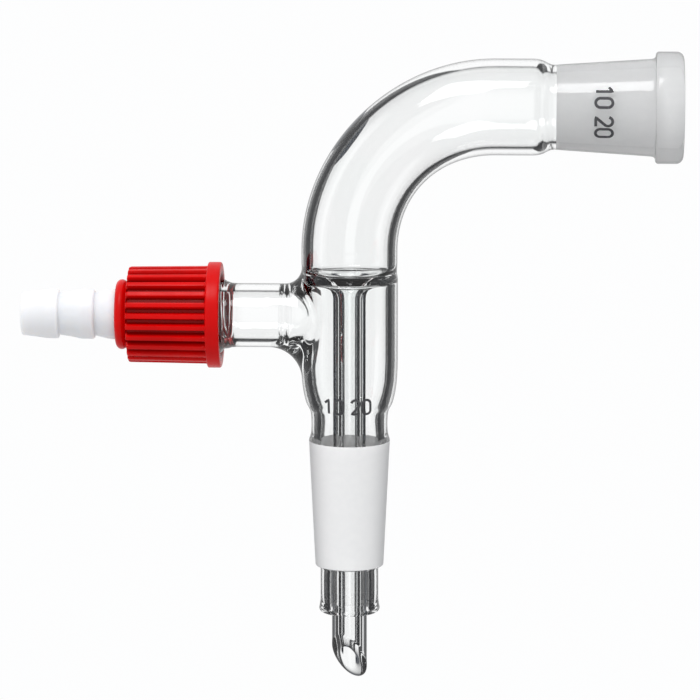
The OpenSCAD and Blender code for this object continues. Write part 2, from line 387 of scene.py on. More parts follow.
def build_studio(shader: Shader, given: bpy.types.Node, result: bpy.types.Node) -> None:
    """Brightness of the surroundings in a direction.

    Bright windows stand behind the part along X and Y, with dark panels between them. Light
    that only passes through the glass also finds a slot in the middle of each panel. Plain
    light is bright from above and dimmer from below.

    Args:
        shader: Tree of the group.
        given: The group's input node.
        result: The group's output node.
    """
    unit = shader.node("ShaderNodeVectorMath", operation="NORMALIZE")
    shader.link(given.outputs["Direction"], unit.inputs[0])
    parts = shader.node("ShaderNodeSeparateXYZ")
    shader.link(unit.outputs[0], parts.inputs[0])
    x, y, z = (parts.outputs[axis] for axis in "XYZ")
    across = shader.maths("ABSOLUTE", shader.maths("MULTIPLY", x, y))
    level = shader.maths("SUBTRACT", 1.0, shader.maths("MULTIPLY", z, z))
    diagonal = shader.maths("DIVIDE", shader.maths("MULTIPLY", across, 2.0), level)
    upright = shader.ramp(shader.maths("ABSOLUTE", z), *PANEL_TOP, 1.0, 0.0)
    straight_depth = given.outputs["Straight depth"]
    straight_panel = shader.ramp(diagonal, *STRAIGHT_PANEL, 0.0, straight_depth)
    slot = shader.ramp(diagonal, *STRAIGHT_SLOT, 1.0, 0.0)
    straight = shader.maths("MULTIPLY", shader.maths("MULTIPLY", straight_panel, slot), upright)
    bounced_depth = given.outputs["Bounced depth"]
    bounced_panel = shader.ramp(diagonal, *BOUNCED_PANEL, 0.0, bounced_depth)
    bounced = shader.maths("MAXIMUM", bounced_panel, shader.maths("SUBTRACT", 1.0, upright))
    shader.link(shader.maths("SUBTRACT", 1.0, straight), result.inputs["Straight"])
    shader.link(shader.maths("SUBTRACT", 1.0, bounced), result.inputs["Bounced"])
    floor_level, sky_level = given.outputs["Floor level"], given.outputs["Sky level"]
    shader.link(shader.ramp(z, *PLAIN_RISE, floor_level, sky_level), result.inputs["Plain"])


# ---------------------------------------------------------------- finishes


@dataclass(frozen=True)
class ClearGlass:
    """Blown borosilicate glass, its colour darkened to near black by painted shade where it is seen
    edge-on.
    """

    tint: tuple[float, float, float] = (0.985, 0.995, 0.992)
    # Painted shade: near-black colour that the glass turns to where its surface is seen edge-on.
    dark_edge_shade: tuple[float, float, float] = (0.003, 0.004, 0.006)
    edge_start: float = 0.62
    edge_end: float = 0.9
    slim_start: float = 0.3
    slim_end: float = 0.5
    slim_skin_mm: Place = (3.3, 3.5)
    wave_scale: float = 55.0
    wave_depth_mm: float = 0.012

    def make(self, name: str, grain: bpy.types.NodeTree) -> bpy.types.Material:
        """Builds the material.

        Args:
            name: Name of the material.
            grain: Group that gives a mask and a relief.

        Returns:
            The new material.
        """
        material, shader, bsdf, coords, pattern = begin_material(name, grain, self.wave_scale)
        body = shader.mix(pattern.outputs["Mask"], (*self.tint, 1.0), (1.0, 1.0, 1.0, 1.0))
        slim = self.near_axis(shader, coords)
        start = shader.ramp(slim, 0.0, 1.0, self.edge_start, self.slim_start)
        end = shader.ramp(slim, 0.0, 1.0, self.edge_end, self.slim_end)
        # Painted shade: the glass colour darkens to near black towards grazing view, starting
        # earlier on the drip tube.
        facing = shader.node("ShaderNodeLayerWeight").outputs["Facing"]
        edge = shader.ramp(facing, start, end, 0.0, 1.0)
        edge_shaded = shader.mix(edge, body, (*self.dark_edge_shade, 1.0))
        shader.link(edge_shaded, bsdf.inputs["Base Color"])
        bsdf.inputs["Roughness"].default_value = 0.0
        bsdf.inputs["IOR"].default_value = GLASS_REFRACTION
        bsdf.inputs["Transmission Weight"].default_value = 1.0
        add_relief(shader, bsdf, pattern.outputs["Height"], self.wave_depth_mm, 0.35)
        return material

    def near_axis(self, shader: Shader, coords: bpy.types.NodeSocket) -> bpy.types.NodeSocket:
        """1 on the drip tube's skin and 0 on the wider glass; on the drip tube the painted edge
        shade starts further in.

        Args:
            shader: Tree that gets the nodes.
            coords: Object coordinates.

        Returns:
            The mask.
        """
        flat = shader.node("ShaderNodeVectorMath", operation="MULTIPLY")
        shader.link(coords, flat.inputs[0])
        flat.inputs[1].default_value = (1.0, 1.0, 0.0)
        length = shader.node("ShaderNodeVectorMath", operation="LENGTH")
        shader.link(flat.outputs[0], length.inputs[0])
        near, far = (radius * MM for radius in self.slim_skin_mm)
        return shader.ramp(length.outputs["Value"], near, far, 1.0, 0.0)


@dataclass(frozen=True)
class GroundGlass:
    """Finely ground, frosted glass of a taper joint, with painted grey shade towards the edges
    where it is seen edge-on.
    """

    colour: tuple[float, float, float] = (0.97, 0.974, 0.98)
    paler: tuple[float, float, float] = (0.99, 0.992, 0.996)
    # Painted shade: grey that the frosted colour turns to where its surface is seen edge-on.
    grey_edge_shade: tuple[float, float, float] = (0.6, 0.605, 0.615)
    edge_start: float = 0.05
    edge_end: float = 0.85
    roughness: float = 0.75
    transmission: float = 0.2
    grain_scale: float = 900.0
    grain_depth_mm: float = 0.006

    def make(self, name: str, grain: bpy.types.NodeTree) -> bpy.types.Material:
        """Builds the material.

        Args:
            name: Name of the material.
            grain: Group that gives a mask and a relief.

        Returns:
            The new material.
        """
        material, shader, bsdf, _, pattern = begin_material(name, grain, self.grain_scale)
        mask = pattern.outputs["Mask"]
        low, high = (*self.colour, 1.0), (*self.paler, 1.0)
        # Painted shade: the frosted colour turns grey towards grazing view.
        facing = shader.node("ShaderNodeLayerWeight").outputs["Facing"]
        edge = shader.ramp(facing, self.edge_start, self.edge_end, 0.0, 1.0)
        skin = shader.mix(edge, shader.mix(mask, low, high), (*self.grey_edge_shade, 1.0))
        shader.link(skin, bsdf.inputs["Base Color"])
        sheen = shader.ramp(mask, 0.0, 1.0, self.roughness - 0.05, self.roughness + 0.08)
        shader.link(sheen, bsdf.inputs["Roughness"])
        bsdf.inputs["IOR"].default_value = GLASS_REFRACTION
        bsdf.inputs["Transmission Weight"].default_value = self.transmission
        add_relief(shader, bsdf, pattern.outputs["Height"], self.grain_depth_mm, 0.4)
        return material


@dataclass(frozen=True)
class Moulded:
    """Moulded plastic or rubber."""

    colour: tuple[float, float, float]
    deeper: tuple[float, float, float]
    roughness: float
    soft_light: float = 0.0
    gloss: float = 0.5
    reach_mm: float = 1.5
    grain_scale: float = 160.0
    grain_depth_mm: float = 0.01

    def make(self, name: str, grain: bpy.types.NodeTree) -> bpy.types.Material:
        """Builds the material.

        Args:
            name: Name of the material.
            grain: Group that gives a mask and a relief.

        Returns:
            The new material.
        """
        material, shader, bsdf, coords, pattern = begin_material(name, grain, self.grain_scale)
        mask = pattern.outputs["Mask"]
        low, high = (*self.deeper, 1.0), (*self.colour, 1.0)
        skin = self.shaded(shader, coords, shader.mix(mask, low, high))
        shader.link(skin, bsdf.inputs["Base Color"])
        sheen = shader.ramp(mask, 0.0, 1.0, self.roughness + 0.06, self.roughness - 0.04)
        shader.link(sheen, bsdf.inputs["Roughness"])
        bsdf.inputs["Subsurface Weight"].default_value = self.soft_light
        bsdf.inputs["Subsurface Radius"].default_value = (1.0, 0.9, 0.8)
        bsdf.inputs["Subsurface Scale"].default_value = self.reach_mm * MM
        bsdf.inputs["Specular IOR Level"].default_value = self.gloss
        add_relief(shader, bsdf, pattern.outputs["Height"], self.grain_depth_mm, 0.3)
        return material

    def shaded(
        self, shader: Shader, coords: bpy.types.NodeSocket, skin: bpy.types.NodeSocket
    ) -> bpy.types.NodeSocket:
        """The plain colour, with no shading of its own."""
        return skin


@dataclass(frozen=True)
class GrooveShadedPlastic(Moulded):
    """Moulded plastic with painted shade that darkens the grooves of a grip round a level axis."""

    floor_radius_mm: float = 7.7
    top_radius_mm: float = 8.45
    grip_end_mm: float = -39.3
    grip_fade_mm: float = 0.2
    # Painted shade: the darkest colour, at the floor of the grooves.
    groove_shade_colour: tuple[float, float, float] = (0.26, 0.0, 0.0)

    def shaded(
        self, shader: Shader, coords: bpy.types.NodeSocket, skin: bpy.types.NodeSocket
    ) -> bpy.types.NodeSocket:
        """The colour, darkened by painted shade towards the floor of the grooves.

        Args:
            shader: Tree that gets the nodes.
            coords: Object coordinates.
            skin: Colour on top of the ribs.

        Returns:
            The colour over the whole grip.
        """
        parts = shader.node("ShaderNodeSeparateXYZ")
        shader.link(coords, parts.inputs[0])
        up = shader.maths("SUBTRACT", parts.outputs["Z"], ARM_HEIGHT * MM)
        across = parts.outputs["Y"]
        squares = [shader.maths("MULTIPLY", way, way) for way in (up, across)]
        radius = shader.maths("SQRT", shader.maths("ADD", *squares))
        low, high = self.floor_radius_mm * MM, self.top_radius_mm * MM
        # Painted shade: the colour darkens towards the floor of the grooves, only along the grip.
        sunk = shader.ramp(radius, low, high, 1.0, 0.0)
        first = self.grip_end_mm * MM
        last = (self.grip_end_mm + self.grip_fade_mm) * MM
        grip = shader.ramp(parts.outputs["X"], first, last, 0.0, 1.0)
        return shader.mix(shader.maths("MULTIPLY", sunk, grip), skin, (*self.groove_shade_colour, 1.0))


def begin_material(
    name: str, grain: bpy.types.NodeTree, scale: float
) -> tuple[
    bpy.types.Material, Shader, bpy.types.Node, bpy.types.NodeSocket, bpy.types.Node
]:
    """Starts a material.

    Args:
        name: Name of the material.
        grain: Group that gives a mask and a relief.
        scale: Scale of the grain.

    Returns:
        The material, its shader, its surface node, its object coordinates and its grain.
    """
    material = bpy.data.materials.new(name)
    material.use_nodes = True
    shader = Shader(material.node_tree)
    bsdf = material.node_tree.nodes["Principled BSDF"]
    coords = shader.node("ShaderNodeTexCoord").outputs["Object"]
    pattern = shader.node("ShaderNodeGroup")
    pattern.node_tree = grain
    shader.link(coords, pattern.inputs["Place"])
    pattern.inputs["Scale"].default_value = scale
    return material, shader, bsdf, coords, pattern


def add_relief(
    shader: Shader,
    bsdf: bpy.types.Node,
    height: bpy.types.NodeSocket,
    depth_mm: float,
    strength: float,
) -> None:
    """Feeds a height through a Bump node into the surface's normal.

    Args:
        shader: Tree that gets the nodes.
        bsdf: Surface node.
        height: Height to follow.
        depth_mm: Depth of the relief in millimetres.
        strength: Share of the relief that shows.
    """
    bump = shader.node("ShaderNodeBump")
    bump.inputs["Strength"].default_value = strength
    bump.inputs["Distance"].default_value = depth_mm * MM
    shader.link(height, bump.inputs["Height"])
    shader.link(bump.outputs["Normal"], bsdf.inputs["Normal"])


# ---------------------------------------------------------------- the blown glass


@dataclass
class Junction:
    """Where the side arm's tube runs into one skin of the jacket."""

    skin: Contour
    tube_radius: float
    rows: list[float]
    blend_top: float
    blend_side: float
    blend_bottom: float
    end: float

    def blend(self, turn: float) -> float:
        """Blend radius at an angle round the side arm, 90 degrees being up."""
        s = math.sin(turn)
        swing = (self.blend_bottom - self.blend_top) / 2
        bulge = (self.blend_bottom + self.blend_top) / 2 - self.blend_side
        return self.blend_side - swing * s + bulge * s * s


@dataclass
class GlassBody:
    """The whole blown piece: cone, jacket, drip tube, bend, socket and side arm."""

    bend_radius: float = 25.8
    bend_start: float = 34.3
    tube_radius: float = 8.55
    tube_bore: float = 7.15
    squeeze: float = 0.035
    arm_radius: float = 5.7
    arm_bore: float = 4.3
    arm_start: float = 15.2
    seam_reach: float = 11.5
    seam_height: float = 0.3
    thread_height: float = 0.9
    drip_radius: float = 3.15
    drip_bore: float = 1.35
    drip_slim: float = 0.25
    drip_end: float = -40.1
    shear_start: float = -32.2
    tip_slope: float = 56.0
    tip_facing: float = 245.0
    trumpet_centre: Place = (6.2, 25.6)
    patch_steps: int = 15
    patch_rows: int = 34
    skin_steps: int = 8
    blend_steps: int = 12
    outer: Contour = field(init=False)
    inner: Contour = field(init=False)

    def __post_init__(self) -> None:
        """Lays out the two skins of the jacket."""
        self.outer = Contour(
            [
                (0.0, 7.25),
                (0.3, 7.18),
                (0.9, 6.98),
                (1.8, 6.84),
                (2.9, 6.8),
                (4.2, 6.84),
                (5.0, 6.93),
                (5.6, 7.1),
                (6.2, 7.42),
                (6.8, 7.72),
                (7.6, 7.95),
                (9.0, 8.25),
                (11.0, 8.5),
                (13.6, 8.63),
                (15.0, 8.65),
                (28.8, 8.65),
                (29.6, 8.6),
                (30.4, 8.46),
                (31.2, 8.5),
                (32.2, 8.55),
                (34.3, 8.55),
            ]
        )
        self.inner = Contour(
            [
                (-30.7, 3.6),
                (-24.0, 3.6),
                (-21.0, 4.25),
                (-1.0, 5.45),
                (1.5, 5.2),
                (3.5, 5.12),
                (5.0, 5.22),
                (6.2, 5.6),
                (7.4, 6.08),
                (9.0, 6.5),
                (11.0, 6.8),
                (13.6, 6.93),
                (15.0, 6.95),
                (28.2, 6.95),
            ]
        )

    # -- upright part

    def outer_rows(self) -> list[float]:
        """Heights of the outer skin's rows beside the side arm, from the top down."""
        fine = spread(32.6, 28.6, 10)
        return fine + spread(28.6, 10.4, self.patch_rows - 10)[1:]

    def inner_rows(self) -> list[float]:
        """Heights of the inner skin's rows beside the side arm, from the bottom up."""
        return spread(11.8, 28.2, self.patch_rows)

    def upright_profile(self) -> list[Place]:
        """Profile of both skins, from the outer edge of the bend down and back up inside."""
        profile = [(self.tube_radius, z) for z in (34.3, 33.8, 33.2)]
        profile += [(self.outer.at(z), z) for z in self.outer_rows()]
        profile += [(self.outer.at(z), z) for z in spread(10.4, 0.0, 34)[1:]]
        profile += [(7.25 - 0.05 * -z, z) for z in spread(0.0, -22.4, 14)[1:]]
        profile += arc((5.83, -22.6), 0.29, 10, -80, 6)
        profile += [(5.5, -22.93), (5.33, -23.0), (5.24, -23.16), (5.2, -23.4), (5.2, -24.2)]
        profile += [(5.2, -26.5), (5.2, -28.7), (5.23, -29.4), (5.32, -30.0)]
        profile += arc((4.75, -30.75), 0.7, 20, -90, 10)
        profile += arc((4.3, -30.75), 0.7, -90, -180, 10)[1:]
        profile += [(self.inner.at(z), z) for z in spread(-30.4, -1.0, 26)]
        profile += [(self.inner.at(z), z) for z in spread(-1.0, 11.8, 28)[1:-1]]
        profile += [(self.inner.at(z), z) for z in self.inner_rows()]
        profile += [(6.92, 28.48), (6.84, 28.7), (6.66, 28.84), (6.44, 28.9)]
        profile += arc(self.trumpet_centre, 3.3, 90, 180, 18)
        profile += [(self.slimmed(z), z) for z in spread(25.4, self.shear_start, 28)]
        profile += self.tip_profile()
        profile += [(self.drip_bore, z) for z in spread(self.shear_start, 25.5, 14)]
        profile += arc((self.drip_bore + 4.5, 25.7), 4.5, 180, 90, 20)
        profile += [(6.3, 30.25), (6.68, 30.4), (6.95, 30.75), (7.1, 31.3)]
        profile += [(self.tube_bore, z) for z in (32.0, 32.8, 33.5, 34.3)]
        return profile

    def slimmed(self, height: float) -> float:
        """Outside radius of the drip tube, a little slimmer inside the jacket."""
        slim = ease(height, -24.0, 2.0)
        return self.drip_radius - self.drip_slim * slim

    def tip_profile(self) -> list[Place]:
        """Rows of the drip tube's end before it is sheared to its slant."""
        wall = (self.drip_radius - self.drip_bore) / 2
        middle = (self.drip_radius + self.drip_bore) / 2
        down = spread(self.shear_start, self.drip_end + wall / 2, 12)[1:]
        rows = [(self.drip_radius, z) for z in down]
        turn = arc((middle, self.drip_end + wall / 2), wall, 0, -180, 10)[1:-1]
        rows += [
            (r, self.drip_end + wall / 2 + (z - self.drip_end - wall / 2) / 2) for r, z in turn
        ]
        rows += [(self.drip_bore, z) for z in reversed(down)]
        return rows

    def slant_tip(self, bm: bmesh.types.BMesh) -> None:
        """Shears the end of the drip tube to its slanted opening.

        Args:
            bm: Mesh of the glass.
        """
        facing = math.radians(self.tip_facing)
        rise = math.tan(math.radians(self.tip_slope))
        for vert in bm.verts:
            z = vert.co.z / MM
            if z < self.shear_start and vert.co.xy.length < (self.drip_radius + 0.1) * MM:
                share = (z - self.shear_start) / (self.drip_end - self.shear_start)
                along = vert.co.x * math.cos(facing) + vert.co.y * math.sin(facing)
                vert.co.z += along * rise * share

    # -- bend and socket

    def bend_tube(self, bm: bmesh.types.BMesh) -> None:
        """Spins the top rings through a right angle and squeezes the middle of the bend.

        Args:
            bm: Mesh of the glass.
        """
        rim = [
            e
            for e in bm.edges
            if e.is_boundary and all(abs(v.co.z - self.bend_start * MM) < 1e-7 for v in e.verts)
        ]
        ends = list({v for e in rim for v in e.verts})
        centre = Vector((self.bend_radius, 0, self.bend_start)) * MM
        bmesh.ops.spin(
            bm,
            geom=ends + rim,
            cent=centre,
            axis=(0, 1, 0),
            angle=math.pi / 2,
            steps=40,
        )
        for vert in bm.verts:
            if vert.co.z > self.bend_start * MM + 1e-7:
                arm = Vector((vert.co.x - centre.x, 0, vert.co.z - centre.z))
                turn = math.atan2(arm.z, -arm.x)
                middle = centre + arm.normalized() * self.bend_radius * MM
                share = 1 - self.squeeze * math.sin(2 * turn) ** 2
                vert.co = middle + (vert.co - middle) * share

    def socket_profile(self) -> list[Place]:
        """Profile of the straight tube, neck and socket, out along the skin and back inside."""
        profile = [(self.tube_radius, s) for s in spread(25.8, 32.6, 4)]
        profile += [(8.5, 33.2), (8.38, 33.8), (8.18, 34.4), (7.9, 34.9), (7.66, 35.4)]
        profile += [(7.53, 35.8), (7.49, 36.2), (7.52, 36.8)]
        profile += [(7.5 + (s - 36.2) * 0.0648, s) for s in spread(37.5, 53.2, 12)]
        profile += [(8.65, 53.55), (8.8, 53.83), (9.05, 53.97)]
        profile += arc((9.3, 54.6), 0.6, -80, 0, 6)
        profile += [(9.9, 55.4), (9.9, 56.4), (9.9, 57.3)]
        profile += arc((8.6, 57.7), 1.3, 8, 90, 10)
        profile += [(8.2, 59.02), (7.85, 58.98)]
        profile += arc((7.75, 58.5), 0.48, 80, 180, 8)
        profile += [(7.25 - (58.4 - s) * 0.05, s) for s in spread(58.2, 36.6, 18)]
        profile += [(6.14, 36.0), (6.17, 35.4), (6.26, 34.8), (6.45, 34.3), (6.72, 33.9)]
        profile += [(6.95, 33.5), (7.09, 33.0), (7.15, 32.4)]
        profile += [(self.tube_bore, s) for s in spread(31.0, 25.8, 3)]
        return profile

    def add_socket(self, bm: bmesh.types.BMesh) -> None:
        """Turns the socket on the end of the bend."""
        placing = Matrix.Translation((0, 0, (self.bend_start + self.bend_radius) * MM))
        placing = placing @ Matrix.Rotation(math.pi / 2, 4, "Y")
        turn_profile(bm, self.socket_profile(), placing, ROUND_STEPS)

    # -- side arm

    def patch_places(self, junction: Junction) -> list[tuple[float, float]]:
        """Angle and height of the hole's corners in the skin, in order round the side arm.

        Args:
            junction: Sizes of the blend on this skin.

        Returns:
            The angle and height of each corner.
        """
        step = math.tau / ROUND_STEPS
        rows = sorted(junction.rows)
        half, middle = self.patch_steps, self.patch_rows // 2
        places = [(half, k) for k in range(middle, self.patch_rows)]
        places += [(k, self.patch_rows) for k in range(half, -half, -1)]
        places += [(-half, k) for k in range(self.patch_rows, 0, -1)]
        places += [(k, 0) for k in range(-half, half)]
        places += [(half, k) for k in range(0, middle)]
        return [(k * step, rows[row]) for k, row in places]

    @staticmethod
    def on_skin(skin: Contour, angle: float, height: float) -> Vector:
        """A point on the jacket, its angle counted from the side arm."""
        radius = skin.at(height)
        return Vector((-radius * math.cos(angle), radius * math.sin(angle), height)) * MM

    def open_patch(self, bm: bmesh.types.BMesh, junction: Junction) -> Ring:
        """Cuts the hole for the side arm and returns its edge in order.

        Args:
            bm: Mesh of the glass.
            junction: Sizes of the blend on this skin.

        Returns:
            The vertices round the hole.
        """
        rows = sorted(junction.rows)
        limit = self.patch_steps * math.tau / ROUND_STEPS
        doomed = []
        for face in bm.faces:
            middle = face.calc_center_median()
            height, reach = middle.z / MM, middle.xy.length / MM
            angle = abs(math.atan2(middle.y, -middle.x))
            if rows[0] < height < rows[-1] and angle < limit:
                if abs(reach - junction.skin.at(height)) < 0.25:
                    doomed.append(face)
        bmesh.ops.delete(bm, geom=doomed, context="FACES")
        tree = KDTree(len(bm.verts))
        verts = list(bm.verts)
        for i, vert in enumerate(verts):
            tree.insert(vert.co, i)
        tree.balance()
        places = self.patch_places(junction)
        return [verts[tree.find(self.on_skin(junction.skin, a, z))[1]] for a, z in places]

    def grow_junction(self, bm: bmesh.types.BMesh, junction: Junction) -> Ring:
        """Draws the skin out of the jacket, round the blend and on to the side arm.

        Args:
            bm: Mesh of the glass.
            junction: Sizes of the blend on this skin.

        Returns:
            The ring round the side arm at the junction's end.
        """
        ring = self.open_patch(bm, junction)
        count = len(ring)
        places = self.patch_places(junction)
        turns = [math.tau * i / count for i in range(count)]
        balls, on_jacket, on_arm = [], [], []
        for turn in turns:
            blend = junction.blend(turn)
            reach = junction.tube_radius + blend
            y, z = reach * math.cos(turn), ARM_HEIGHT + reach * math.sin(turn)
            wall = junction.skin.at(z)
            x = -math.sqrt((wall + blend) ** 2 - y * y)
            balls.append((Vector((x, y, z)), blend))
            on_jacket.append((math.atan2(y, -x), z))
            on_arm.append(Vector((0, -math.cos(turn), -math.sin(turn))))
        for step in range(1, self.skin_steps + 1):
            share = step / self.skin_steps
            targets = []
            for (a, z), (b, h) in zip(places, on_jacket):
                angle, height = a + (b - a) * share, z + (h - z) * share
                targets.append(self.on_skin(junction.skin, angle, height))
            ring = grow(bm, ring, targets)
        for step in range(1, self.blend_steps + 1):
            targets = []
            for (ball, blend), inward in zip(balls, on_arm):
                to_jacket = Vector((-ball.x, -ball.y, 0)).normalized()
                direction = to_jacket.slerp(inward, step / self.blend_steps)
                targets.append((ball + direction * blend) * MM)
            ring = grow(bm, ring, targets)
        for share in (0.5, 1.0):
            targets = []
            for (ball, _), turn in zip(balls, turns):
                x = ball.x + (-junction.end - ball.x) * share
                targets.append(self.arm_point(-x, junction.tube_radius, turn))
            ring = grow(bm, ring, targets)
        return ring

    def arm_point(self, reach: float, radius: float, turn: float) -> Vector:
        """A point round the side arm's axis, in metres."""
        y, z = radius * math.cos(turn), ARM_HEIGHT + radius * math.sin(turn)
        return Vector((-reach, y, z)) * MM

    def thread(self, reach: float, turn: float) -> float:
        """Height of the right-handed screw thread over its root."""
        share = ease(reach, 21.6, 23.0) * (1 - ease(reach, 32.8, 34.0))
        phase = math.tau * reach / THREAD_PITCH + turn
        return self.thread_height * share * (0.5 + 0.5 * math.cos(phase)) ** 1.4

    def add_arm(self, bm: bmesh.types.BMesh) -> None:
        """Draws out both skins of the side arm and closes its fire-polished end.

        Args:
            bm: Mesh of the glass.
        """
        outside = Junction(
            self.outer, self.arm_radius, self.outer_rows(), 3.0, 4.5, 6.0, self.arm_start
        )
        inside = Junction(
            self.inner, self.arm_bore, self.inner_rows(), 1.0, 1.8, 3.0, self.seam_reach - 1.0
        )
        skin = self.grow_junction(bm, outside)
        bore = self.grow_junction(bm, inside)
        count = len(skin)
        turns = [math.tau * i / count for i in range(count)]
        root = Contour([(15.0, 5.7), (20.6, 5.7), (21.8, 6.0), (33.6, 6.0), (34.2, 5.85)])
        for reach in spread(self.arm_start, 21.0, 6)[1:] + spread(21.0, 34.2, 52)[1:]:
            radii = [root.at(reach) + self.thread(reach, turn) for turn in turns]
            skin = grow(bm, skin, [self.arm_point(reach, r, t) for r, t in zip(radii, turns)])
        lip = ((5.7, 34.45), (5.45, 34.63), (5.15, 34.7), (4.8, 34.7), (4.55, 34.62))
        for radius, reach in lip:
            skin = grow(bm, skin, [self.arm_point(reach, radius, t) for t in turns])
        for shift in spread(-1.0, 1.0, 12)[1:]:
            radius = self.arm_bore - self.seam_height * (0.5 + 0.5 * math.cos(math.pi * shift))
            reach = self.seam_reach + shift
            bore = grow(bm, bore, [self.arm_point(reach, radius, t) for t in turns])
        for reach in spread(self.seam_reach + 1.0, 34.0, 10)[1:] + [34.25]:
            bore = grow(bm, bore, [self.arm_point(reach, self.arm_bore, t) for t in turns])
        bore = grow(bm, bore, [self.arm_point(34.45, 4.37, t) for t in turns])
        ends = [bm.edges.get(p) for r in (skin, bore) for p in zip(r, r[1:] + r[:1])]
        bmesh.ops.bridge_loops(bm, edges=ends)

    # -- finish

    def skin_of(self, face: bmesh.types.BMFace) -> Skin:
        """Whether a face is clear or ground.

        Args:
            face: A face of the finished glass.

        Returns:
            The surface that the face belongs to.
        """
        middle = face.calc_center_median() / MM
        round_cone = middle.xy.length
        if -22.75 < middle.z < 0 and round_cone > 5.9:
            return Skin.GROUND
        axis = self.bend_start + self.bend_radius
        round_socket = math.hypot(middle.y, middle.z - axis)
        if 36.3 < middle.x < 58.3 and round_socket < 7.35:
            return Skin.GROUND
        return Skin.CLEAR

    def build(self, clear: bpy.types.Material, ground: bpy.types.Material) -> bpy.types.Object:
        """Builds the piece.

        Args:
            clear: Material of the blown glass.
            ground: Material of the ground joints.

        Returns:
            The finished object.
        """
        bm = bmesh.new()
        turn_profile(bm, self.upright_profile(), Matrix.Identity(4), ROUND_STEPS)
        bmesh.ops.remove_doubles(bm, verts=bm.verts, dist=1e-7)
        self.slant_tip(bm)
        self.bend_tube(bm)
        self.add_socket(bm)
        bmesh.ops.remove_doubles(bm, verts=bm.verts, dist=2e-6)
        self.add_arm(bm)
        for face in bm.faces:
            face.material_index = self.skin_of(face).value
        return finish_piece(bm, "blown_glass", [clear, ground])


# ---------------------------------------------------------------- cap, connector, ring


def along_arm() -> Matrix:
    """Places a shape made round +Z on the side arm, its height becoming the way out."""
    return Matrix.Translation((0, 0, ARM_HEIGHT * MM)) @ Matrix.Rotation(-math.pi / 2, 4, "Y")


@dataclass
class ScrewCap:
    """Red screw cap with grip ribs, a flange and a rounded collar."""

    ribs: int = 26
    rib_depth: float = 1.05
    groove_share: float = 0.46
    groove_slope: float = 0.2
    steps_per_rib: int = 16
    thread_height: float = 0.75
    thread_sharpness: float = 1.6

    def profile(self) -> list[Place]:
        """Closed profile, from the open face out over the cap and back through its bore."""
        rows = [(7.75, 22.8), (8.6, 22.8), (9.05, 22.82)]
        rows += arc((9.1, 23.15), 0.35, -80, 0, 5)
        rows += [(9.45, 23.8), (9.45, 24.5)]
        rows += arc((9.2, 24.95), 0.25, 0, 90, 4)
        rows += [(8.98, 25.21), (8.83, 25.28), (8.76, 25.45)]
        rows += [(8.75 - (s - 25.2) * 0.014, s) for s in spread(25.8, 38.9, 12)]
        rows += [(8.54, 39.1), (8.47, 39.28), (8.32, 39.38), (8.1, 39.4), (7.7, 39.4)]
        rows += [(6.8, 39.4), (5.95, 39.4), (5.72, 39.47), (5.66, 39.62)]
        rows += arc((5.25, 40.65), 1.0, -62, 90, 14)
        rows += [(5.0, 41.65), (4.85, 41.62), (4.72, 41.52), (4.65, 41.35)]
        rows += [(4.65, 40.0), (4.65, 38.1), (4.72, 37.94), (4.9, 37.9), (6.9, 37.9), (7.08, 37.86)]
        rows += [(7.15, s) for s in spread(37.6, 24.2, 56)]
        rows += [(7.18, 23.7), (7.25, 23.3), (7.42, 22.98)]
        return rows

    def shape(self, vert: bmesh.types.BMVert) -> None:
        """Presses the grooves into the grip and raises the thread in the bore.

        Args:
            vert: A vertex of the cap, still turned round +Z.
        """
        reach, radius = vert.co.z / MM, vert.co.xy.length / MM
        turn = math.atan2(vert.co.y, vert.co.x)
        shift = 0.0
        if 25.15 < reach < 39.42 and radius > 7.9:
            phase = abs((turn * self.ribs / math.tau) % 1.0 - 0.5) * 2
            low = self.groove_share - self.groove_slope
            high = self.groove_share + self.groove_slope
            groove = 1 - ease(phase, low, high)
            near = ease(reach, 25.2, 25.5)
            shift = -self.rib_depth * groove * near
        if 23.6 < reach < 37.7 and radius < 7.3:
            share = ease(reach, 24.0, 25.6) * (1 - ease(reach, 36.2, 37.4))
            phase = math.tau * reach / THREAD_PITCH - turn + math.pi
            crest = (0.5 + 0.5 * math.cos(phase)) ** self.thread_sharpness
            shift = -self.thread_height * share * crest
        if shift:
            vert.co.xy *= (radius + shift) / radius

    def build(self, material: bpy.types.Material) -> bpy.types.Object:
        """Builds the cap with its material.

        Args:
            material: Red plastic.

        Returns:
            The finished object.
        """
        bm = bmesh.new()
        steps = self.ribs * self.steps_per_rib
        made = turn_profile(bm, self.profile(), Matrix.Identity(4), steps, closed=True)
        for vert in made:
            self.shape(vert)
        bmesh.ops.transform(bm, matrix=along_arm(), verts=bm.verts)
        return finish_piece(bm, "red_screw_cap", [material], 50.0)


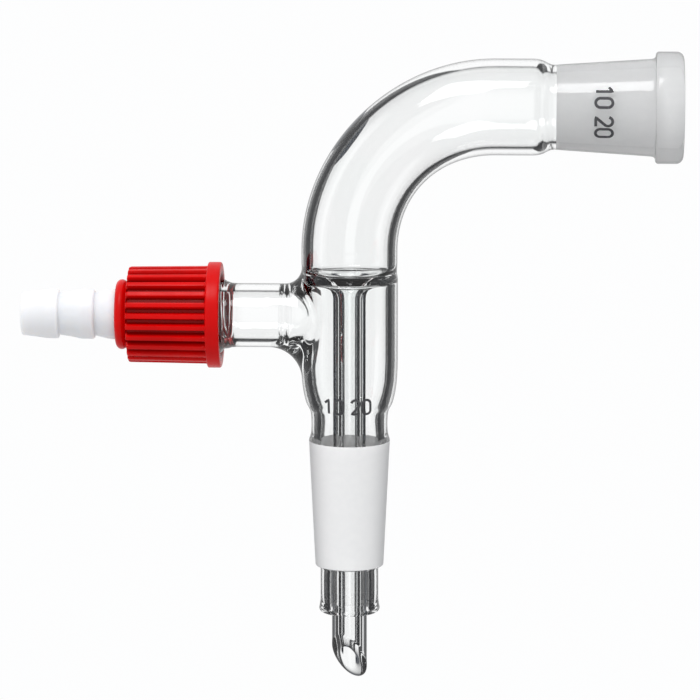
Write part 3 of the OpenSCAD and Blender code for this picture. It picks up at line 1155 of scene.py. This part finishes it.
@dataclass
class HoseConnector:
    """White connector with two barbs, a smooth bore and a hidden flange."""

    bore: float = 2.6
    start: float = 36.2
    end: float = 58.6

    def profile(self) -> list[Place]:
        """Closed profile, from the flange out over the barbs and back through the bore."""
        rows = [(3.2, self.start), (6.5, self.start), (6.66, 36.26), (6.7, 36.4)]
        rows += [(6.7, 37.7), (6.64, 37.86), (6.5, 37.9), (4.7, 37.9), (4.54, 37.96), (4.5, 38.1)]
        rows += [(4.5, 41.9), (4.46, 42.6), (4.32, 43.4), (4.12, 44.2), (3.95, 44.9), (3.84, 45.3)]
        rows += [(3.84, 45.42), (3.95, 45.5), (4.28, 45.56), (4.38, 45.62), (4.43, 45.74)]
        rows += [(4.45, 46.0), (4.45, 47.6), (4.43, 47.9), (4.36, 48.3), (4.2, 48.9)]
        rows += [(4.02, 49.9), (3.88, 50.8), (3.78, 51.5), (3.76, 51.75)]
        rows += [(3.8, 51.86), (3.95, 51.92), (4.24, 51.97), (4.34, 52.03), (4.39, 52.15)]
        rows += [(4.4, 52.4), (4.4, 53.9), (4.38, 54.2), (4.3, 54.7), (4.16, 55.6)]
        rows += [(4.02, 56.7), (3.92, 57.6)]
        rows += arc((3.4, 58.1), 0.5, 10, 90, 6)
        rows += [(3.1, 58.6), (2.85, 58.58), (2.68, 58.48), (self.bore, 58.3)]
        rows += [(self.bore, s) for s in (54.0, 48.0, 42.0, 37.2)]
        rows += [(2.75, 36.6), (3.0, 36.3)]
        return rows

    def build(self, material: bpy.types.Material) -> bpy.types.Object:
        """Builds the connector with its material."""
        bm = bmesh.new()
        turn_profile(bm, self.profile(), along_arm(), ROUND_STEPS, closed=True)
        return finish_piece(bm, "white_hose_connector", [material], 60.0)


@dataclass
class SealingRing:
    """Soft ring squeezed between the glass and the connector."""

    inside: float = 3.7
    outside: float = 6.4
    start: float = 34.7
    end: float = 36.2

    def build(self, material: bpy.types.Material) -> bpy.types.Object:
        """Builds the ring with its material.

        Args:
            material: Grey silicone.

        Returns:
            The finished object.
        """
        soft = 0.35
        rows = arc((self.outside - soft, self.start + soft), soft, -90, 0, 5)
        rows += arc((self.outside - soft, self.end - soft), soft, 0, 90, 5)
        rows += arc((self.inside + soft, self.end - soft), soft, 90, 180, 5)
        rows += arc((self.inside + soft, self.start + soft), soft, 180, 270, 5)
        bm = bmesh.new()
        turn_profile(bm, rows, along_arm(), ROUND_STEPS, closed=True)
        return finish_piece(bm, "soft_sealing_ring", [material])


# ---------------------------------------------------------------- printed numbers


class Reading(Enum):
    """Which way a printed number reads."""

    LEVEL = 0
    UPRIGHT = 1


class Digit(Enum):
    """A plain digit, drawn as one pen stroke in units of its height."""

    ZERO = (*arc((0.3, 0.7), 0.24, 0, 180, 12), *arc((0.3, 0.3), 0.24, 180, 360, 12), (0.54, 0.7))
    ONE = ((0.12, 0.74), (0.36, 0.93), (0.36, 0.07))
    TWO = (*arc((0.3, 0.7), 0.24, 165, -35, 14), (0.07, 0.07), (0.56, 0.07))


@dataclass
class NumberPrint:
    """Fired-on numbers, lying on the skin of the glass."""

    pairs: Sequence[Sequence[Digit]]
    height: float
    reading: Reading
    advance: float = 0.66
    gap: float = 0.32
    pen: float = 0.15
    thickness: float = 0.03

    def strokes(self) -> list[list[Place]]:
        """Every pen stroke in millimetres, centred on the print's middle."""
        made, start = [], 0.0
        for pair in self.pairs:
            for digit in pair:
                made.append([(x + start, y) for x, y in digit.value])
                start += self.advance
            start += self.gap
        width = start - self.gap
        return [
            [((x - width / 2) * self.height, (y - 0.5) * self.height) for x, y in stroke]
            for stroke in made
        ]

    def ribbon(self) -> bmesh.types.BMesh:
        """The strokes as round-ended rods, in millimetres."""
        curve = bpy.data.curves.new("numbers", "CURVE")
        curve.dimensions = "3D"
        curve.bevel_depth = self.pen * self.height / 2
        curve.bevel_resolution = 3
        curve.use_fill_caps = True
        for stroke in self.strokes():
            line = curve.splines.new("POLY")
            fine = [stroke[0]]
            for a, b in zip(stroke, stroke[1:]):
                cuts = max(1, round(math.dist(a, b) / 0.3))
                fine += [
                    (a[0] + (b[0] - a[0]) * k / cuts, a[1] + (b[1] - a[1]) * k / cuts)
                    for k in range(1, cuts + 1)
                ]
            line.points.add(len(fine) - 1)
            for point, (x, y) in zip(line.points, fine):
                point.co = (x, y, 0.0, 1.0)
        holder = bpy.data.objects.new("numbers", curve)
        bpy.context.scene.collection.objects.link(holder)
        bpy.context.view_layer.update()
        graph = bpy.context.evaluated_depsgraph_get()
        mesh = bpy.data.meshes.new_from_object(holder.evaluated_get(graph))
        bpy.data.objects.remove(holder)
        bpy.data.curves.remove(curve)
        bm = bmesh.new()
        bm.from_mesh(mesh)
        bpy.data.meshes.remove(mesh)
        return bm

    def build(
        self,
        name: str,
        place: Callable[[float, float, float], Vector],
        material: bpy.types.Material,
    ) -> bpy.types.Object:
        """Lays the numbers on a skin.

        Args:
            name: Name of the object.
            place: Turns across, up and height over the skin, in mm, into a point in metres.
            material: Ink of the numbers.

        Returns:
            The finished object.
        """
        bm = self.ribbon()
        flatten = self.thickness / (self.pen * self.height)
        for vert in bm.verts:
            across, up = vert.co.x, vert.co.y
            if self.reading is Reading.UPRIGHT:
                across, up = up, -across
            vert.co = place(across, up, self.thickness / 2 + 0.008 + vert.co.z * flatten)
        return finish_piece(bm, name, [material], 40.0)


# ---------------------------------------------------------------- studio


@dataclass
class Studio:
    """Pale floor, surround, soft light and the camera."""

    target: Vector = field(default_factory=lambda: Vector((0.0001, 0.0, 0.0163)))
    azimuth: float = 2.5
    elevation: float = 10.0
    distance: float = 0.8
    frame_width: float = 0.125
    floor_height: float = -0.3

    def add_world(self, surround: bpy.types.NodeTree) -> None:
        """White surround for the camera, with dark side panels in what the glass bends.

        Args:
            surround: Group that gives the brightness in a direction.
        """
        world = bpy.data.worlds.new("studio surround")
        bpy.context.scene.world = world
        world.use_nodes = True
        shader = Shader(world.node_tree)
        background = world.node_tree.nodes["Background"]
        direction = shader.node("ShaderNodeTexCoord").outputs["Generated"]
        shader.link(self.seen(shader, surround, direction), background.inputs["Color"])
        background.inputs["Strength"].default_value = 1.0
        world.cycles.sampling_method = "NONE"

    def seen(
        self, shader: Shader, surround: bpy.types.NodeTree, direction: bpy.types.NodeSocket
    ) -> bpy.types.NodeSocket:
        """Colour seen in a direction: plain white straight from the camera.

        Args:
            shader: Tree that gets the nodes.
            surround: Group that gives the brightness in a direction.
            direction: The direction.

        Returns:
            The colour.
        """
        group = shader.node("ShaderNodeGroup")
        group.node_tree = surround
        shader.link(direction, group.inputs["Direction"])
        light = shader.node("ShaderNodeLightPath")
        turned = shader.maths("GREATER_THAN", light.outputs["Glossy Depth"], 0.5)
        passed = self.choose(
            shader, turned, group.outputs["Straight"], group.outputs["Bounced"]
        )
        scattered = shader.maths("GREATER_THAN", light.outputs["Diffuse Depth"], 0.5)
        clean = shader.maths("SUBTRACT", 1.0, scattered)
        through = shader.maths("MULTIPLY", light.outputs["Is Transmission Ray"], clean)
        shade = self.choose(shader, through, group.outputs["Plain"], passed)
        straight = light.outputs["Is Camera Ray"]
        share = shader.maths("MAXIMUM", straight, shade)
        return shader.mix(share, (0.004, 0.005, 0.007, 1.0), (0.985, 0.987, 0.99, 1.0))

    @staticmethod
    def choose(
        shader: Shader, switch: bpy.types.NodeSocket, off: object, on: object
    ) -> bpy.types.NodeSocket:
        """One of two values, by a switch of 0 or 1.

        Args:
            shader: Tree that gets the nodes.
            switch: The switch.
            off: Value at 0.
            on: Value at 1.

        Returns:
            The chosen value.
        """
        picked = shader.node("ShaderNodeMix", data_type="FLOAT")
        for socket, value in zip(picked.inputs, (switch, None, off, on)):
            if value is not None:
                shader.feed(socket, value)
        return picked.outputs[0]

    def add_floor(self, surround: bpy.types.NodeTree) -> bpy.types.Object:
        """Large pale floor far under the held part.

        Args:
            surround: Group that gives the brightness in a direction.

        Returns:
            The floor.
        """
        bm = bmesh.new()
        bmesh.ops.create_grid(bm, x_segments=1, y_segments=1, size=12.0)
        bmesh.ops.translate(bm, vec=(0, 0, self.floor_height), verts=bm.verts)
        material = bpy.data.materials.new("pale floor")
        material.use_nodes = True
        tree = material.node_tree
        tree.nodes.remove(tree.nodes["Principled BSDF"])
        shader = Shader(tree)
        glow = shader.node("ShaderNodeEmission")
        coords = shader.node("ShaderNodeTexCoord").outputs["Object"]
        shader.link(self.seen(shader, surround, coords), glow.inputs["Color"])
        shader.link(glow.outputs[0], tree.nodes["Material Output"].inputs["Surface"])
        material.cycles.emission_sampling = "NONE"
        mesh = bpy.data.meshes.new("floor")
        bm.to_mesh(mesh)
        bm.free()
        mesh.materials.append(material)
        floor = bpy.data.objects.new("floor", mesh)
        bpy.context.scene.collection.objects.link(floor)
        return floor

    def add_light(self, name: str, place: Vector, size: float, power: float) -> None:
        """A soft square light that faces the part.

        Args:
            name: Name of the light.
            place: Where it hangs, in metres.
            size: Length of its sides in metres.
            power: Its power in watts.
        """
        data = bpy.data.lights.new(name, "AREA")
        data.shape = "SQUARE"
        data.size = size
        data.energy = power
        lamp = bpy.data.objects.new(name, data)
        lamp.location = place
        lamp.rotation_euler = (self.target - place).to_track_quat("-Z", "Y").to_euler()
        bpy.context.scene.collection.objects.link(lamp)

    def add_camera(self) -> None:
        """Long lens at the part's usual viewing angle."""
        data = bpy.data.cameras.new("camera")
        data.sensor_width = 36.0
        data.lens = 36.0 * self.distance / self.frame_width
        data.clip_start, data.clip_end = 0.05, 60.0
        camera = bpy.data.objects.new("camera", data)
        a, e = math.radians(self.azimuth), math.radians(self.elevation)
        back = Vector((math.sin(a) * math.cos(e), -math.cos(a) * math.cos(e), math.sin(e)))
        camera.location = self.target + back * self.distance
        camera.rotation_euler = (-back).to_track_quat("-Z", "Y").to_euler()
        bpy.context.scene.collection.objects.link(camera)
        bpy.context.scene.camera = camera

    def build(self, surround: bpy.types.NodeTree) -> None:
        """Sets up everything round the part.

        Args:
            surround: Group that gives the brightness in a direction.
        """
        self.add_world(surround)
        self.add_floor(surround)
        self.add_light("overhead softbox", Vector((-0.2, -0.45, 0.9)), 0.45, 4.6)
        self.add_camera()
        scene = bpy.context.scene
        scene.view_settings.view_transform = "Standard"
        scene.view_settings.look = "None"
        scene.cycles.transmission_bounces = 24
        scene.cycles.max_bounces = 28
        scene.cycles.caustics_refractive = True
        log.info("studio ready")


# ---------------------------------------------------------------- the adapter


class Adapter:
    """The whole take-off adapter."""

    def __init__(self) -> None:
        """Makes the shared groups and the materials."""
        self.grain = make_group(
            "mould grain",
            [("Place", "NodeSocketVector", None), ("Scale", "NodeSocketFloat", 100.0)],
            [("Mask", "NodeSocketFloat"), ("Height", "NodeSocketFloat")],
            build_mould_grain,
        )
        self.surround = make_group(
            "studio surround",
            [
                ("Direction", "NodeSocketVector", None),
                ("Straight depth", "NodeSocketFloat", 0.95),
                ("Bounced depth", "NodeSocketFloat", 1.0),
                ("Floor level", "NodeSocketFloat", 0.78),
                ("Sky level", "NodeSocketFloat", 1.0),
            ],
            [
                ("Straight", "NodeSocketFloat"),
                ("Bounced", "NodeSocketFloat"),
                ("Plain", "NodeSocketFloat"),
            ],
            build_studio,
        )
        self.clear = ClearGlass().make("clear borosilicate", self.grain)
        self.ground = GroundGlass().make("ground joint", self.grain)
        self.red = GrooveShadedPlastic((0.62, 0.001, 0.001), (0.54, 0.001, 0.001), 0.3, gloss=0.12).make(
            "red plastic", self.grain
        )
        self.white = Moulded(
            (0.76, 0.768, 0.79), (0.73, 0.738, 0.762), 0.42, 1.0, gloss=0.3, reach_mm=3.0
        ).make("white plastic", self.grain)
        self.silicone = Moulded((0.55, 0.57, 0.6), (0.5, 0.52, 0.55), 0.5, 0.2).make(
            "grey silicone", self.grain
        )
        self.ink = Moulded(
            (0.075, 0.075, 0.08), (0.06, 0.06, 0.065), 0.6, gloss=0.2, grain_scale=400.0
        ).make("grey fired ink", self.grain)

    def add(self, piece: bpy.types.Object, body: str, slot: str, node: str | None) -> None:
        """Hangs a piece on its body and hides the CAD node that it stands for.

        Args:
            piece: The piece.
            body: Body that it moves with.
            slot: Not used.
            node: CAD node that it stands for, or None for an extra piece.
        """
        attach(piece, body)
        if node:
            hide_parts(node)

    def build(self) -> None:
        """Builds every piece."""
        glass = GlassBody()
        self.add(glass.build(self.clear, self.ground), "glass", "clear_glass", "glass_body")
        self.add(ScrewCap().build(self.red), "cap", "red_plastic", "screw_cap")
        self.add(HoseConnector().build(self.white), "connector", "white_plastic", "hose_connector")
        self.add(SealingRing().build(self.silicone), "connector", "silicone", "sealing_ring")
        axis = glass.bend_start + glass.bend_radius
        socket_middle, socket_foot, socket_foot_radius, socket_taper = 44.9, 36.2, 7.5, 0.0648
        jacket_middle = 7.3

        def on_socket(across: float, up: float, over: float) -> Vector:
            """A point on the front of the socket.

            Args:
                across: Along the socket, in millimetres.
                up: Up round the skin.
                over: Height over the skin.

            Returns:
                The point in metres.
            """
            s = socket_middle + across
            radius = socket_foot_radius + (s - socket_foot) * socket_taper + over
            turn = up / radius
            return Vector((s, -radius * math.cos(turn), axis + radius * math.sin(turn))) * MM

        def on_jacket(across: float, up: float, over: float) -> Vector:
            """A point on the front of the jacket's foot.

            Args:
                across: Round the skin, in millimetres.
                up: Up the jacket.
                over: Height over the skin.

            Returns:
                The point in metres.
            """
            z = jacket_middle + up
            radius = glass.outer.at(z) + over
            turn = across / radius
            return Vector((radius * math.sin(turn), -radius * math.cos(turn), z)) * MM

        pairs = ((Digit.ONE, Digit.ZERO), (Digit.TWO, Digit.ZERO))
        for label, reading, height, place in (
            ("socket_number_print", Reading.UPRIGHT, 3.4, on_socket),
            ("jacket_number_print", Reading.LEVEL, 3.1, on_jacket),
        ):
            mark = NumberPrint(pairs, height, reading).build(label, place, self.ink)
            self.add(mark, "glass", "clear_glass", None)


def main() -> None:
    """Builds the adapter and its studio."""
    adapter = Adapter()
    adapter.build()
    Studio().build(adapter.surround)


if __name__ == "__main__":
    main()
